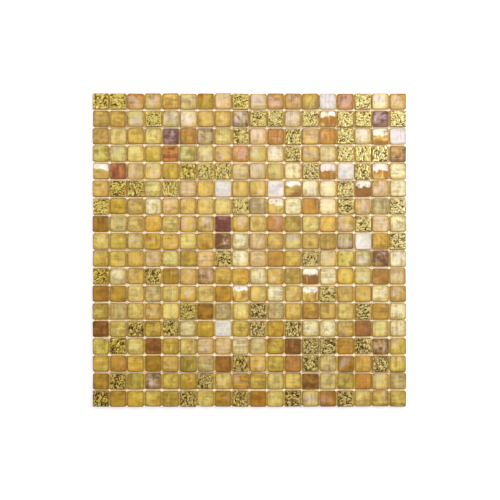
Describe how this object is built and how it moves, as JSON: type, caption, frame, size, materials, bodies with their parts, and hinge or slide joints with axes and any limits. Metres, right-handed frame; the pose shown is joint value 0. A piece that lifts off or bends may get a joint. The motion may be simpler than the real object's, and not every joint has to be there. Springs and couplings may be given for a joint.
{
  "type": "mosaic tile sheet",
  "caption": "Square sheet of small square glass mosaic tiles in honey, amber, pearl and gold-leaf glass, held face up on a glass-fibre net with open joints, for bedding in adhesive.",
  "frame": {"origin": "middle of the sheet, on the underside of its net", "axes": "+X to the right and +Y up the sheet as its face is seen, +Z out of the face"},
  "size_m": [0.2945, 0.2944, 0.0044],
  "materials": {
    "gold_leaf_glass": "hammered gold leaf under clear glass, gloss",
    "honey_glass": "iridised glass, gloss",
    "straw_glass": "iridised glass, gloss",
    "cream_glass": "pearly iridised glass, gloss",
    "olive_glass": "iridised glass, gloss",
    "khaki_glass": "clouded glass, satin",
    "tan_glass": "iridised glass, gloss",
    "amber_glass": "iridised glass, gloss",
    "copper_glass": "iridised glass, gloss",
    "rust_glass": "iridised glass, gloss",
    "umber_glass": "iridised glass, gloss",
    "plum_glass": "iridised glass, gloss",
    "rose_glass": "pearly iridised glass, gloss",
    "iris_glass": "strongly iridised glass, gloss",
    "opal_glass": "opal glass, gloss",
    "flashed_amber_glass": "amber glass with a pearly flash, gloss",
    "coated_glass_fibre": "matte acrylic coating on glass-fibre yarn"
  },
  "bodies": {
    "root": {"gold_leaf_tesserae": "gold_leaf_glass", "honey_glass_tesserae": "honey_glass", "straw_glass_tesserae": "straw_glass", "cream_glass_tesserae": "cream_glass", "olive_glass_tesserae": "olive_glass", "khaki_glass_tesserae": "khaki_glass", "tan_glass_tesserae": "tan_glass", "amber_glass_tesserae": "amber_glass", "copper_glass_tesserae": "copper_glass", "rust_glass_tesserae": "rust_glass", "umber_glass_tesserae": "umber_glass", "plum_glass_tesserae": "plum_glass", "rose_glass_tesserae": "rose_glass", "iris_glass_tesserae": "iris_glass", "opal_glass_tesserae": "opal_glass", "flashed_amber_tesserae": "flashed_amber_glass", "net_warp_yarns": "coated_glass_fibre", "net_weft_yarns": "coated_glass_fibre"}
  },
  "joints": []
}
